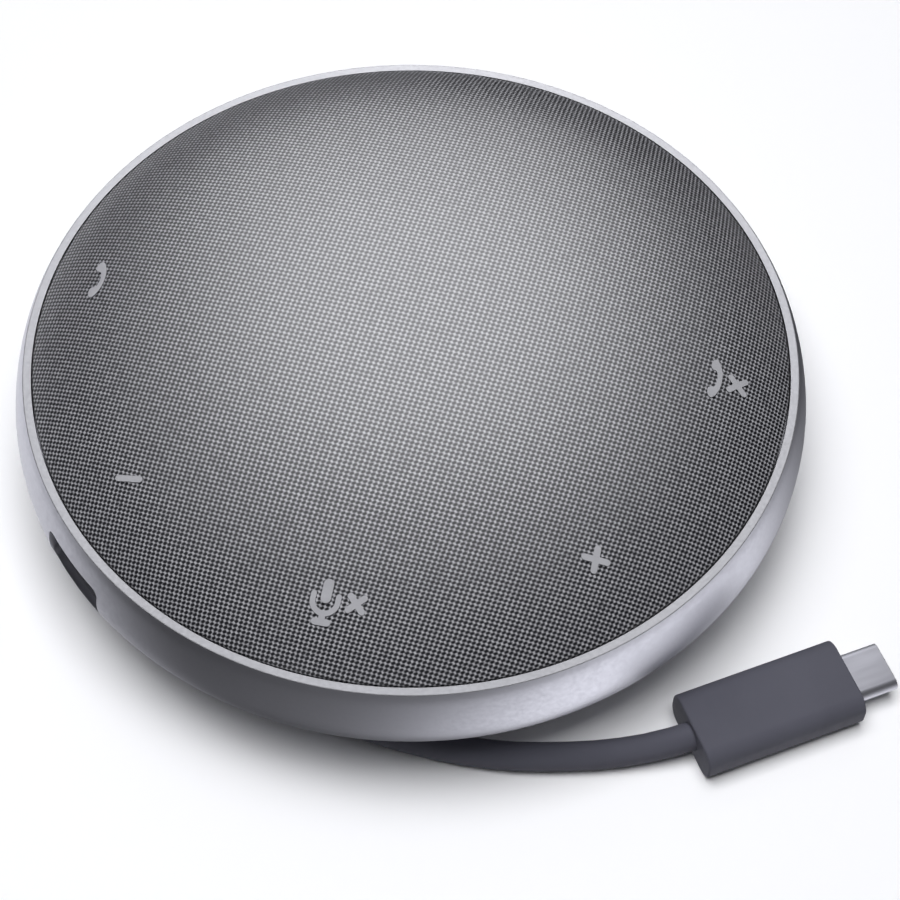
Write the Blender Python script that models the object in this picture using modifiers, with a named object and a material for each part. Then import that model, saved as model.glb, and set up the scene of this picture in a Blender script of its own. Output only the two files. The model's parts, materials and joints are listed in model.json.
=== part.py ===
"""Conference speakerphone: a round puck with a domed fabric top, five keys under the fabric,
a loudspeaker inside, a side socket and a captive cord that ends in a flat reversible plug.

Run with blender --background --python part.py. Sizes below are in millimetres and the
model is built in metres. +Z is up, the front of the puck faces -Y, and z = 0 is the desk.
A bearing is the angle from the front, positive towards +X.
"""

import math

import bmesh
import bpy
from mathutils import Matrix, Vector

MM = 0.001
GAP = 0.3

# Dome, the face of the puck
RIM_RADIUS = 60.0
RIM_HEIGHT = 25.0
DOME_SHARES = (0.0443, 0.1661, -0.2481, 0.1795)
FABRIC_THICKNESS = 0.5
FABRIC_TUCK_OUTER = RIM_RADIUS - 0.4
FABRIC_TUCK_INNER = FABRIC_TUCK_OUTER - 0.6
FABRIC_TUCK_BOTTOM = 22.4
GRILLE_TOP = FABRIC_THICKNESS + GAP
GRILLE_UNDERSIDE = GRILLE_TOP + 1.5
GRILLE_SKIRT_OUTER = FABRIC_TUCK_INNER - GAP
GRILLE_SKIRT_INNER = GRILLE_SKIRT_OUTER - 1.6
GRILLE_SKIRT_BOTTOM = 22.0

# Base, foot and groove for the cord
PLATE_BOTTOM = 2.2
PLATE_TOP = 4.4
WELL_RADIUS = 43.4
GROOVE_INNER = 44.8
GROOVE_OUTER = 52.4
GROOVE_ROOF = 10.6
BASE_TOP = 12.2
BASE_SIDE = 53.5
BASE_RIM_RADIUS = 55.8
BASE_RIM_BOTTOM = 4.9
BASE_RIM_TOP = 5.5
CORD_TAB_BEARINGS = (75, 120, 165, 210, 255)
CORD_TAB_CIRCLE = 51.7
CORD_TAB_SIZE = (5.0, 2.6, 0.6)

# Boards
MAIN_BOARD_BOTTOM = 12.75
MAIN_BOARD_TOP = 14.05
KEY_BOARD_BOTTOM = 20.5
KEY_BOARD_TOP = 21.5
KEY_BOARD_INNER = 44.5
BOARD_OUTER = 56.9

# Keys
KEY_CIRCLE = 50.0
KEY_HEAD_RADIUS = 4.0
KEY_HOLE_RADIUS = 4.4
KEY_FLANGE_BOTTOM = 23.9
KEY_FLANGE_TOP = 24.5
KEY_STEM_BOTTOM = 22.65
KEY_BEARINGS = {"key_call": -90, "key_volume_down": -45, "key_mute": 0, "key_volume_up": 45, "key_end": 90}

# Fasteners: circle radius and bearings
BASE_SCREW_CIRCLE = 37.0
BASE_SCREW_BEARINGS = (45, 135, 225, 315)
BOARD_SCREW_CIRCLE = 39.5
BOARD_SCREW_BEARINGS = (90, 210, 330)
KEY_BOARD_SCREW_BEARINGS = (112.5, 180, 247.5)
DRIVER_SCREW_CIRCLE = 29.5
DRIVER_SCREW_BEARINGS = (0, 90, 180, 270)
MICROPHONE_BEARINGS = (-22.5, 157.5)

# Loudspeaker
FLANGE_TOP = 28.0
FLANGE_BOTTOM = 26.8
FLANGE_RADIUS = 32.0
BASKET_WINDOW_BEARINGS = (30, 90, 150, 210, 270, 330)

# Grille: sound slots, and per ring of bosses its bearings, circle, radius and foot, and the
# radius, bottom and top of its pilot holes
SOUND_SLOTS = 12
SOUND_SLOT_CIRCLE = 14.0
SOUND_SLOT_SIZE = (2.0, 14.0, 8.0)
BOSS_OVERLAP = 0.75
GRILLE_BOSSES = (
    (BASE_SCREW_BEARINGS, BASE_SCREW_CIRCLE, 2.9, PLATE_TOP + GAP, 1.6, PLATE_TOP - 1.0, 13.0),
    (DRIVER_SCREW_BEARINGS, DRIVER_SCREW_CIRCLE, 2.1, FLANGE_TOP + GAP, 1.25, FLANGE_TOP, 30.1),
    (KEY_BOARD_SCREW_BEARINGS, KEY_CIRCLE, 2.3, KEY_BOARD_TOP + GAP, 1.25, KEY_BOARD_TOP, 24.8),
)

# Side socket
SOCKET_BEARING = -43.1
SOCKET_CENTRE_Z = 17.2
SOCKET_MOUTH_RADIUS = 62.0
SOCKET_SIZE = (13.1, 13.5, 5.7)
SOCKET_WALL = 0.4
SLOT_SIZE = (14.1, 12.0, 6.6)

# Cord and plug
CORD_RADIUS = 2.25
CORD_BORE = CORD_RADIUS + GAP
CORD_SPACING = 8.0
DESK_LEVEL = CORD_RADIUS + 0.03
GROOVE_LEVEL = 7.95
GROOVE_LINE = 48.6
GLAND_LEVEL = 7.4
GLAND_START = (19, 41.8)
GLAND_END = (31, 46.4)
CORD_ROUTE = (
    (-2, 35.5, GLAND_LEVEL),
    (12, 39.2, GLAND_LEVEL),
    (25, 44.3, GLAND_LEVEL),
    (38, 48.2, GLAND_LEVEL + 0.3),
    (55, GROOVE_LINE, GROOVE_LEVEL),
    (90, GROOVE_LINE, GROOVE_LEVEL),
    (125, GROOVE_LINE, GROOVE_LEVEL),
    (160, GROOVE_LINE, GROOVE_LEVEL),
    (195, GROOVE_LINE, GROOVE_LEVEL),
    (230, GROOVE_LINE, GROOVE_LEVEL),
    (265, GROOVE_LINE, GROOVE_LEVEL),
    (285, GROOVE_LINE, GROOVE_LEVEL - 0.6),
    (303, GROOVE_LINE + 0.1, 4.9),
    (317, GROOVE_LINE + 0.4, 2.9),
    (330, 49.6, DESK_LEVEL + 0.05),
    (341, 51.3, DESK_LEVEL),
    (352, 53.4, DESK_LEVEL),
    (372, 56.9, DESK_LEVEL),
    (384.4, 61.0, DESK_LEVEL),
    (395.6, 65.2, DESK_LEVEL),
    (403, 68.5, DESK_LEVEL + 0.25),
)
PLUG_START = (53.5, -47.0)
PLUG_HEADING = 33.1
PLUG_SIZE = (26.6, 13.4, 6.8)
PLUG_AXIS_Z = PLUG_SIZE[2] / 2 + 0.05
PLUG_CORNER = 2.6
CORD_IN_PLUG = 5.0
SHELL_SIZE = (8.25, 2.4)
SHELL_WALL = 0.3
SHELL_REACH = 6.9
SHELL_SEAT = 4.5
SHELL_FOOT = PLUG_SIZE[0] - SHELL_SEAT
SHELL_FLOOR = 1.0
INSERT_SIZE = (4.0, 6.4, 1.2)
CORD_ANCHOR_SIZE = (9.0, 8.0, 7.0)

# Printed symbols on the fabric
FILM_THICKNESS = 0.25
STROKE = 0.95
CROSS_STROKE = 0.8
STAND_ARM = 1.1


# ---------------------------------------------------------------- geometry

def polar(bearing, radius):
    """Point at a bearing from the front of the puck."""
    turn = math.radians(bearing)
    return Vector((radius * math.sin(turn), -radius * math.cos(turn)))


def dome_height(radius):
    """Height of the fabric's outer surface at a radius."""
    share = min(radius / RIM_RADIUS, 1.0)
    rise = sum(part * (1 - share ** (2 * power)) for power, part in enumerate(DOME_SHARES, 1))
    return RIM_HEIGHT + RIM_RADIUS * rise


def below_dome(radius, depth):
    """Point that lies a depth under the dome, measured square to its surface."""
    step = 0.01
    slope = (dome_height(radius) - dome_height(max(radius - step, 0.0))) / step
    length = math.hypot(1.0, slope)
    return radius + depth * slope / length, dome_height(radius) - depth / length


def layer_height(radius, depth):
    """Height at a radius of the surface that runs a depth under the dome."""
    low, high = 0.0, RIM_RADIUS
    for _ in range(40):
        middle = (low + high) / 2
        if below_dome(middle, depth)[0] < radius:
            low = middle
        else:
            high = middle
    return below_dome(high, depth)[1]


def layer(radii, depth):
    """Profile points of the surface that runs a depth under the dome."""
    return [(radius, layer_height(radius, depth)) for radius in radii]


def arc(centre, radius, start, end, count):
    """Points along an arc, angles in degrees."""
    points = []
    for index in range(count + 1):
        turn = math.radians(start + (end - start) * index / count)
        points.append((centre[0] + radius * math.cos(turn), centre[1] + radius * math.sin(turn)))
    return points


def smooth_route(points, spacing):
    """Points at an even spacing along a smooth curve through the route's own points."""
    ends = [points[0] * 2 - points[1], *points, points[-1] * 2 - points[-2]]
    dense = []
    for index in range(1, len(ends) - 2):
        before, start, end, after = ends[index - 1:index + 3]
        for step in range(24):
            t = step / 24
            dense.append(0.5 * (
                start * 2 + (end - before) * t
                + (before * 2 - start * 5 + end * 4 - after) * t ** 2
                + (start * 3 - before - end * 3 + after) * t ** 3
            ))
    dense.append(points[-1])
    total = sum((b - a).length for a, b in zip(dense, dense[1:]))
    stride = total / round(total / spacing)
    even = [dense[0]]
    walked = 0.0
    for a, b in zip(dense, dense[1:]):
        length = (b - a).length
        while walked + length >= stride * len(even) - 1e-6:
            share = (stride * len(even) - walked) / length
            even.append(a.lerp(b, min(share, 1.0)))
        walked += length
    return even


# ---------------------------------------------------------------- scene

def clear_scene():
    for item in list(bpy.data.objects):
        bpy.data.objects.remove(item, do_unlink=True)


def new_collection(name):
    collection = bpy.data.collections.new(name)
    bpy.context.scene.collection.children.link(collection)
    return collection


clear_scene()
PARTS = new_collection("conference_speakerphone")
CUTTERS = new_collection("cutters")


def material(name, colour, roughness, metallic=0.0):
    item = bpy.data.materials.new(name)
    item.use_nodes = True
    shader = item.node_tree.nodes["Principled BSDF"]
    shader.inputs["Base Color"].default_value = (*colour, 1.0)
    shader.inputs["Roughness"].default_value = roughness
    shader.inputs["Metallic"].default_value = metallic
    item.diffuse_color = (*colour, 1.0)
    return item


SILVER = material("satin_silver", (0.55, 0.55, 0.59), 0.32, 1.0)
BRIGHT = material("bright_trim", (0.72, 0.72, 0.76), 0.22, 1.0)
FABRIC = material("grey_fabric", (0.20, 0.20, 0.21), 0.9)
BLACK = material("black_plastic", (0.02, 0.02, 0.022), 0.5)
RUBBER = material("black_rubber", (0.015, 0.015, 0.016), 0.85)
SLATE = material("slate_overmould", (0.085, 0.085, 0.105), 0.5)
STEEL = material("steel", (0.6, 0.6, 0.62), 0.3, 1.0)
NICKEL = material("nickel_shell", (0.62, 0.62, 0.67), 0.28, 1.0)
BOARD = material("green_board", (0.02, 0.12, 0.06), 0.5)
PAPER = material("paper_cone", (0.05, 0.05, 0.055), 0.8)
COPPER = material("copper_winding", (0.65, 0.30, 0.16), 0.35, 1.0)
WHITE = material("white_plastic", (0.75, 0.75, 0.72), 0.5)
PRINT = material("light_grey_print", (0.42, 0.42, 0.44), 0.6)


def mesh_object(name, mesh, look, collection=None):
    item = bpy.data.objects.new(name, mesh)
    (collection or PARTS).objects.link(item)
    if look:
        mesh.materials.append(look)
    return item


def as_cutter(item):
    """Move an object to the cutters, out of the render and out of the build."""
    for collection in list(item.users_collection):
        collection.objects.unlink(item)
    CUTTERS.objects.link(item)
    item.hide_render = True
    item.display_type = "WIRE"
    return item


def smooth(mesh, degrees=35):
    mesh.shade_smooth()
    mesh.set_sharp_from_angle(angle=math.radians(degrees))


def baked(item):
    """Replace an object's mesh with its evaluated one and drop its modifiers."""
    graph = bpy.context.evaluated_depsgraph_get()
    mesh = bpy.data.meshes.new_from_object(item.evaluated_get(graph))
    item.modifiers.clear()
    item.data = mesh
    return item


def turned(name, profile, look, steps=48, closed=True):
    """Solid of revolution from (radius, height) points that run down the outer side.

    A closed profile makes a ring, and an open one starts and ends on the axis.
    """
    mesh = bpy.data.meshes.new(name)
    points = [(radius * MM, 0.0, height * MM) for radius, height in profile]
    edges = [(index, index + 1) for index in range(len(points) - 1)]
    if closed:
        edges.append((len(points) - 1, 0))
    mesh.from_pydata(points, edges, [])
    item = mesh_object(name, mesh, look)
    screw = item.modifiers.new("turn", "SCREW")
    screw.steps = steps
    screw.render_steps = steps
    screw.use_merge_vertices = True
    screw.merge_threshold = 0.00001
    baked(item)
    smooth(item.data)
    return item


def disc(name, radius, bottom, top, look, centre=(0.0, 0.0), sides=20):
    """Upright cylinder."""
    mesh = bpy.data.meshes.new(name)
    form = bmesh.new()
    bmesh.ops.create_cone(
        form, cap_ends=True, segments=sides,
        radius1=radius * MM, radius2=radius * MM, depth=(top - bottom) * MM,
    )
    form.to_mesh(mesh)
    form.free()
    item = mesh_object(name, mesh, look)
    item.location = (centre[0] * MM, centre[1] * MM, (bottom + top) / 2 * MM)
    smooth(mesh)
    return item


def block(name, size, look, location=(0.0, 0.0, 0.0), heading=0.0, bevel=0.0, segments=2):
    """Box with its edges rounded, centred on its location."""
    mesh = bpy.data.meshes.new(name)
    form = bmesh.new()
    bmesh.ops.create_cube(form, size=1.0)
    bmesh.ops.scale(form, vec=Vector(size) * MM, verts=form.verts)
    form.to_mesh(mesh)
    form.free()
    item = mesh_object(name, mesh, look)
    item.location = Vector(location) * MM
    item.rotation_euler.z = math.radians(heading)
    if bevel:
        rounding = item.modifiers.new("rounding", "BEVEL")
        rounding.width = bevel * MM
        rounding.segments = segments
        baked(item)
    return item


def rounded_bar(name, size, corner, look, segments=4, end_bevel=0.0):
    """Bar along X whose long edges are rounded, from x = 0 to its length."""
    mesh = bpy.data.meshes.new(name)
    form = bmesh.new()
    bmesh.ops.create_cube(form, size=1.0)
    bmesh.ops.scale(form, vec=Vector(size) * MM, verts=form.verts)
    bmesh.ops.translate(form, vec=Vector((size[0] / 2 * MM, 0.0, 0.0)), verts=form.verts)
    long_edges = [e for e in form.edges if abs(e.verts[0].co.x - e.verts[1].co.x) > size[0] * MM / 2]
    bmesh.ops.bevel(
        form, geom=long_edges, offset=corner * MM, segments=segments, profile=0.5, affect="EDGES",
    )
    if end_bevel:
        ends = [e for e in form.edges if abs(e.verts[0].co.x - e.verts[1].co.x) < MM / 1000]
        bmesh.ops.bevel(
            form, geom=ends, offset=end_bevel * MM, segments=2, profile=0.5, affect="EDGES",
        )
    form.to_mesh(mesh)
    form.free()
    item = mesh_object(name, mesh, look)
    smooth(mesh)
    return item


def joined(name, items):
    """One mesh in world space from several that don't touch each other."""
    form = bmesh.new()
    for item in items:
        bpy.context.view_layer.update()
        part = item.data.copy()
        part.transform(item.matrix_world)
        form.from_mesh(part)
        bpy.data.meshes.remove(part)
        bpy.data.objects.remove(item, do_unlink=True)
    mesh = bpy.data.meshes.new(name)
    form.to_mesh(mesh)
    form.free()
    return mesh_object(name, mesh, None)


def combine(item, others, operation):
    """Cut the others out of an object, or add them to it."""
    tool = as_cutter(joined(f"{item.name}_{operation.lower()}", others))
    change = item.modifiers.new(operation.lower(), "BOOLEAN")
    change.operation = operation
    change.solver = "EXACT"
    change.object = tool
    bpy.context.view_layer.update()
    baked(item)
    smooth(item.data)


def cut(item, others):
    combine(item, others, "DIFFERENCE")


def add(item, others):
    combine(item, others, "UNION")


def tube(name, points, radius, look, resolution=2):
    """Round cord through world points, with filled ends."""
    curve = bpy.data.curves.new(name, "CURVE")
    curve.dimensions = "3D"
    curve.bevel_depth = radius * MM
    curve.bevel_resolution = resolution
    curve.use_fill_caps = True
    spline = curve.splines.new("POLY")
    spline.points.add(len(points) - 1)
    for target, point in zip(spline.points, points):
        target.co = (*(point * MM), 1.0)
    item = bpy.data.objects.new(name, curve)
    PARTS.objects.link(item)
    curve.materials.append(look)
    return item


def mesh_from_curve(item):
    """Mesh object in place of a curve object, with its caps welded."""
    bpy.context.view_layer.update()
    graph = bpy.context.evaluated_depsgraph_get()
    mesh = bpy.data.meshes.new_from_object(item.evaluated_get(graph))
    form = bmesh.new()
    form.from_mesh(mesh)
    bmesh.ops.remove_doubles(form, verts=form.verts, dist=0.00001)
    form.to_mesh(mesh)
    form.free()
    name = item.name
    world = item.matrix_world.copy()
    bpy.data.objects.remove(item, do_unlink=True)
    replacement = bpy.data.objects.new(name, mesh)
    replacement.matrix_world = world
    PARTS.objects.link(replacement)
    return replacement


def flat_outline(name, outline, thickness, look):
    """Flat piece from a closed outline, lying on z = 0."""
    curve = bpy.data.curves.new(name, "CURVE")
    curve.dimensions = "2D"
    curve.fill_mode = "BOTH"
    curve.extrude = thickness * MM / 2
    spline = curve.splines.new("POLY")
    spline.points.add(len(outline) - 1)
    for target, point in zip(spline.points, outline):
        target.co = (point[0] * MM, point[1] * MM, 0.0, 1.0)
    spline.use_cyclic_u = True
    item = bpy.data.objects.new(name, curve)
    item.location.z = thickness * MM / 2
    PARTS.objects.link(item)
    curve.materials.append(look)
    return mesh_from_curve(item)


# ---------------------------------------------------------------- fasteners

def screw(name, centre, head_bottom, head_top, tip, head_radius, shank_radius):
    """Screw that points up, with a cross recess in its head."""
    profile = [
        (0.0, tip),
        (shank_radius * 0.6, tip),
        (shank_radius, tip - shank_radius),
        (shank_radius, head_top),
        (head_radius, head_top),
        (head_radius, head_bottom + 0.2),
        (head_radius - 0.2, head_bottom),
        (0.0, head_bottom),
    ]
    item = turned(name, profile, STEEL, steps=8, closed=False)
    slot = (head_radius * 1.1, 0.5, 1.0)
    cut(item, [block("slot", slot, None, (0.0, 0.0, head_bottom))])
    item.location = (centre[0] * MM, centre[1] * MM, 0.0)
    return item


def ring_of(prefix, bearings, radius, build):
    """One numbered object at each bearing."""
    for index, bearing in enumerate(bearings, 1):
        build(f"{prefix}_{index}", polar(bearing, radius))


# ---------------------------------------------------------------- shells

def fabric_cover():
    radii = (0.0, 14.0, 26.0, 37.0, 46.0, 52.0, 56.0, 58.4)
    outer = layer(radii, 0.0) + [(FABRIC_TUCK_OUTER, dome_height(FABRIC_TUCK_OUTER))]
    hem = [(FABRIC_TUCK_OUTER, FABRIC_TUCK_BOTTOM), (FABRIC_TUCK_INNER, FABRIC_TUCK_BOTTOM)]
    inner = layer(radii[:-1] + (FABRIC_TUCK_INNER,), FABRIC_THICKNESS)
    turned("fabric_cover", outer + hem + inner[::-1], FABRIC, steps=48, closed=False)


def boss(centre, radius, bottom, circle):
    """Boss that grows out of the grille's underside."""
    top = layer_height(circle, GRILLE_UNDERSIDE) + BOSS_OVERLAP
    return disc("boss", radius, bottom, top, None, centre, sides=12)


def grille_bosses():
    """Screw bosses under the grille, and the pilot holes to cut in them."""
    bosses = []
    pilots = []
    for bearings, circle, radius, foot, bore, bore_bottom, bore_top in GRILLE_BOSSES:
        for bearing in bearings:
            centre = polar(bearing, circle)
            bosses.append(boss(centre, radius, foot, circle))
            pilots.append(disc("pilot", bore, bore_bottom, bore_top, None, centre, sides=8))
    return bosses, pilots


def grille_openings():
    """Key holes, microphone ports and the sound slots over the loudspeaker."""
    low = RIM_HEIGHT
    high = RIM_HEIGHT + 7.0
    openings = []
    for bearing in KEY_BEARINGS.values():
        openings.append(disc("hole", KEY_HOLE_RADIUS, low, high, None, polar(bearing, KEY_CIRCLE), sides=16))
    for bearing in MICROPHONE_BEARINGS:
        openings.append(disc("port", 0.9, low + 0.5, high, None, polar(bearing, KEY_CIRCLE), sides=8))
    for index in range(SOUND_SLOTS):
        bearing = (index + 0.5) * 360 / SOUND_SLOTS
        place = (*polar(bearing, SOUND_SLOT_CIRCLE), high)
        openings.append(block("sound_slot", SOUND_SLOT_SIZE, None, place, bearing))
    return openings


def grille_dome():
    radii = (0.0, 22.0, 36.0, 46.0, 52.5, 56.2)
    outer = layer(radii + (GRILLE_SKIRT_OUTER,), GRILLE_TOP)
    inner = layer(radii[:-1] + (GRILLE_SKIRT_INNER - 1.6, GRILLE_SKIRT_INNER), GRILLE_UNDERSIDE)
    skirt = [(GRILLE_SKIRT_OUTER, GRILLE_SKIRT_BOTTOM), (GRILLE_SKIRT_INNER, GRILLE_SKIRT_BOTTOM)]
    item = turned("grille_dome", outer + skirt + inner[::-1], BLACK, steps=36, closed=False)
    bosses, pilots = grille_bosses()
    add(item, bosses)
    cut(item, pilots + grille_openings())


def trim_ring():
    profile = [
        (59.9, 22.0), (59.9, 24.9), (59.98, 25.0), (60.95, 25.0), (61.05, 24.9), (61.05, 22.0),
    ]
    turned("trim_ring", profile, BRIGHT, steps=48)


def outer_housing():
    outer = [
        (61.35, 24.45), (61.5, 24.4), (62.05, 23.1), (62.65, 21.4), (63.1, 19.6), (63.42, 17.2),
        (63.4, 15.8), (62.8, 13.4), (61.2, 10.6), (58.8, 8.0), (55.8, 6.1), (53.8, 5.8),
    ]
    inner = [
        (53.8, 7.4), (57.6, 9.6), (60.2, 12.8), (61.5, 16.6), (61.55, 20.6),
        (57.5, 20.6), (57.5, 21.7), (61.35, 21.7),
    ]
    item = turned("outer_housing", outer + inner, SILVER, steps=48)
    middle = polar(SOCKET_BEARING, SOCKET_MOUTH_RADIUS)
    slot = block("slot", SLOT_SIZE, None, (*middle, SOCKET_CENTRE_Z), SOCKET_BEARING, 1.2, 3)
    cut(item, [slot])


def turned_cutter(profile, centre):
    item = turned("stepped_hole", profile, None, steps=12, closed=False)
    item.location = (centre[0] * MM, centre[1] * MM, 0.0)
    return item


def base_additions():
    """Bosses for the main board, and the tabs that keep the cord in its groove."""
    additions = []
    for bearing in BOARD_SCREW_BEARINGS:
        centre = polar(bearing, BOARD_SCREW_CIRCLE)
        top = MAIN_BOARD_BOTTOM - GAP
        additions.append(disc("boss", 2.8, PLATE_TOP - 1.0, top, None, centre, sides=12))
    for bearing in CORD_TAB_BEARINGS:
        place = (*polar(bearing, CORD_TAB_CIRCLE), BASE_RIM_BOTTOM + 0.35)
        additions.append(block("cord_tab", CORD_TAB_SIZE, None, place, bearing))
    return additions


def base_openings():
    """Pilot holes, counterbored screw holes and the hole for the cord's gland."""
    counterbore = [(0.0, 6.0), (1.6, 6.0), (1.6, 3.6), (3.0, 3.6), (3.0, 1.0), (0.0, 1.0)]
    openings = []
    for bearing in BOARD_SCREW_BEARINGS:
        centre = polar(bearing, BOARD_SCREW_CIRCLE)
        openings.append(disc("pilot", 1.25, 7.5, 13.5, None, centre, sides=8))
    for bearing in BASE_SCREW_BEARINGS:
        openings.append(turned_cutter(counterbore, polar(bearing, BASE_SCREW_CIRCLE)))
    openings.append(gland_body("gland_hole", 3.95, 3.95, 17.0))
    return openings


def base_cover():
    profile = [
        (0.0, PLATE_TOP), (WELL_RADIUS, PLATE_TOP), (WELL_RADIUS, BASE_TOP), (BASE_SIDE, BASE_TOP),
        (BASE_SIDE, BASE_RIM_TOP), (BASE_RIM_RADIUS, BASE_RIM_TOP), (BASE_RIM_RADIUS, BASE_RIM_BOTTOM),
        (GROOVE_OUTER, BASE_RIM_BOTTOM), (GROOVE_OUTER, GROOVE_ROOF), (GROOVE_INNER, GROOVE_ROOF),
        (GROOVE_INNER, PLATE_BOTTOM + 0.4), (GROOVE_INNER - 0.4, PLATE_BOTTOM), (0.0, PLATE_BOTTOM),
    ]
    item = turned("base_cover", profile, BLACK, steps=40, closed=False)
    add(item, base_additions())
    cut(item, base_openings())


def base_screws():
    ring_of("base_screw", BASE_SCREW_BEARINGS, BASE_SCREW_CIRCLE, lambda name, centre: screw(
        name, centre, 2.3, 3.3, 11.5, 2.6, 1.25))


def foot_pad():
    profile = [(0.0, 1.9), (44.0, 1.9), (44.3, 1.6), (44.3, 0.4), (43.9, 0.0), (0.0, 0.0)]
    turned("foot_pad", profile, RUBBER, steps=40, closed=False)


# ---------------------------------------------------------------- loudspeaker

def driver_basket():
    """Frame with six windows and four screw holes in its flange."""
    profile = [
        (24.2, FLANGE_TOP), (FLANGE_RADIUS, FLANGE_TOP), (FLANGE_RADIUS, FLANGE_BOTTOM),
        (25.4, FLANGE_BOTTOM), (16.6, 18.0), (12.0, 18.0), (12.0, 19.0), (16.2, 19.0), (24.2, 27.0),
    ]
    basket = turned("driver_frame", profile, BLACK, steps=24)
    openings = []
    for bearing in BASKET_WINDOW_BEARINGS:
        openings.append(block("window", (9.0, 9.0, 4.6), None, (*polar(bearing, 20.7), 22.6), bearing))
    for bearing in DRIVER_SCREW_BEARINGS:
        centre = polar(bearing, DRIVER_SCREW_CIRCLE)
        openings.append(disc("hole", 1.25, FLANGE_BOTTOM - 1, FLANGE_TOP + 1, None, centre, sides=12))
    cut(basket, openings)


def driver_motor():
    magnet = [
        (0.0, 17.4), (8.6, 17.4), (8.6, 12.4), (10.6, 12.4), (10.6, 17.6), (15.5, 17.6),
        (15.5, 11.0), (14.9, 10.4), (0.0, 10.4),
    ]
    turned("driver_magnet", magnet, STEEL, steps=24, closed=False)
    coil = [(9.0, 20.2), (10.1, 20.2), (10.1, 13.6), (9.0, 13.6)]
    turned("driver_voice_coil", coil, COPPER, steps=20)


def driver_diaphragm():
    cone = [(20.6, 27.2), (21.2, 27.2), (21.2, 26.6), (10.4, 20.5), (9.0, 20.5), (9.0, 21.1), (10.1, 21.1)]
    turned("driver_cone", cone, PAPER, steps=24)
    cap = [
        (0.0, 25.0), (5.5, 24.4), (9.0, 23.3), (11.0, 22.5),
        (11.0, 22.1), (8.8, 22.8), (5.3, 23.9), (0.0, 24.4),
    ]
    turned("driver_dust_cap", cap, PAPER, steps=20, closed=False)


def driver_suspension():
    """Half-roll surround and the seal ring over its outer land."""
    centre = (22.65, 28.5)
    roll = [(20.4, 27.9), (21.3, 27.9)] + arc(centre, 1.35, 190, 10, 4)
    roll += [(24.6, 28.7), (27.0, 28.7), (27.0, 28.3), (24.4, 28.3)]
    roll += arc(centre, 0.95, 0, 180, 4) + [(21.4, 27.5), (20.4, 27.5)]
    turned("driver_surround", roll, RUBBER, steps=24)
    seal = [(24.8, 30.0), (27.0, 30.0), (27.0, 29.0), (24.8, 29.0)]
    turned("driver_seal", seal, RUBBER, steps=24)


def driver_screws():
    ring_of("driver_screw", DRIVER_SCREW_BEARINGS, DRIVER_SCREW_CIRCLE, lambda name, centre: screw(
        name, centre, 25.5, FLANGE_BOTTOM - GAP, 29.7, 1.8, 0.9))


def driver():
    driver_basket()
    driver_motor()
    driver_diaphragm()
    driver_suspension()
    driver_screws()


# ---------------------------------------------------------------- boards and keys

def annular_board(name, inner, outer, bottom, top, holes, look):
    item = turned(name, [(inner, top), (outer, top), (outer, bottom), (inner, bottom)], look, steps=32)
    cut(item, [disc("hole", radius, bottom - 1, top + 1, None, centre, sides=8) for centre, radius in holes])


def main_board():
    holes = [(polar(bearing, BOARD_SCREW_CIRCLE), 1.25) for bearing in BOARD_SCREW_BEARINGS]
    holes += [(polar(bearing, BASE_SCREW_CIRCLE), 3.4) for bearing in BASE_SCREW_BEARINGS]
    annular_board("main_board", 20.0, BOARD_OUTER, MAIN_BOARD_BOTTOM, MAIN_BOARD_TOP, holes, BOARD)
    seat = MAIN_BOARD_TOP + GAP
    ring_of("board_screw", BOARD_SCREW_BEARINGS, BOARD_SCREW_CIRCLE, lambda name, centre: downward_screw(
        name, centre, seat, 8.0))
    block("audio_processor", (9.0, 9.0, 1.0), BLACK, (*polar(150, 34.0), seat + 0.5), 150, 0.15, 1)
    block("shield_can", (16.0, 12.0, 2.2), STEEL, (*polar(-100, 48.5), seat + 1.1), -100, 0.4, 2)


def key_board():
    holes = [(polar(bearing, KEY_CIRCLE), 1.25) for bearing in KEY_BOARD_SCREW_BEARINGS]
    annular_board("key_board", KEY_BOARD_INNER, BOARD_OUTER, KEY_BOARD_BOTTOM, KEY_BOARD_TOP, holes, BOARD)
    ring_of("key_board_screw", KEY_BOARD_SCREW_BEARINGS, KEY_CIRCLE, lambda name, centre: screw(
        name, centre, 19.1, KEY_BOARD_BOTTOM - GAP, 24.3, 1.8, 0.9))


def downward_screw(name, centre, seat, tip):
    item = screw(name, (0.0, 0.0), -(seat + 1.1), -seat, -tip, 1.9, 0.9)
    item.data.transform(Matrix.Rotation(math.pi, 4, "X"))
    item.location = (centre[0] * MM, centre[1] * MM, 0.0)


def key(name, bearing):
    """Key plunger: its head follows the dome, its flange keeps it in, its stem meets the switch."""
    top = 30.0
    profile = [
        (0.0, top), (2.0, top), (KEY_HEAD_RADIUS - 0.4, top), (KEY_HEAD_RADIUS, top - 0.4),
        (KEY_HEAD_RADIUS, KEY_FLANGE_TOP), (5.0, KEY_FLANGE_TOP), (5.0, KEY_FLANGE_BOTTOM),
        (1.1, KEY_FLANGE_BOTTOM), (1.1, KEY_STEM_BOTTOM), (0.0, KEY_STEM_BOTTOM),
    ]
    item = turned(name, profile, RUBBER, steps=12, closed=False)
    centre = polar(bearing, KEY_CIRCLE)
    for vertex in item.data.vertices:
        height = vertex.co.z / MM
        if height > top - 1.0:
            radius = math.hypot(vertex.co.x / MM + centre.x, vertex.co.y / MM + centre.y)
            vertex.co.z = (layer_height(radius, GRILLE_TOP) - (top - height)) * MM
    item.location = (centre.x * MM, centre.y * MM, 0.0)


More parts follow.
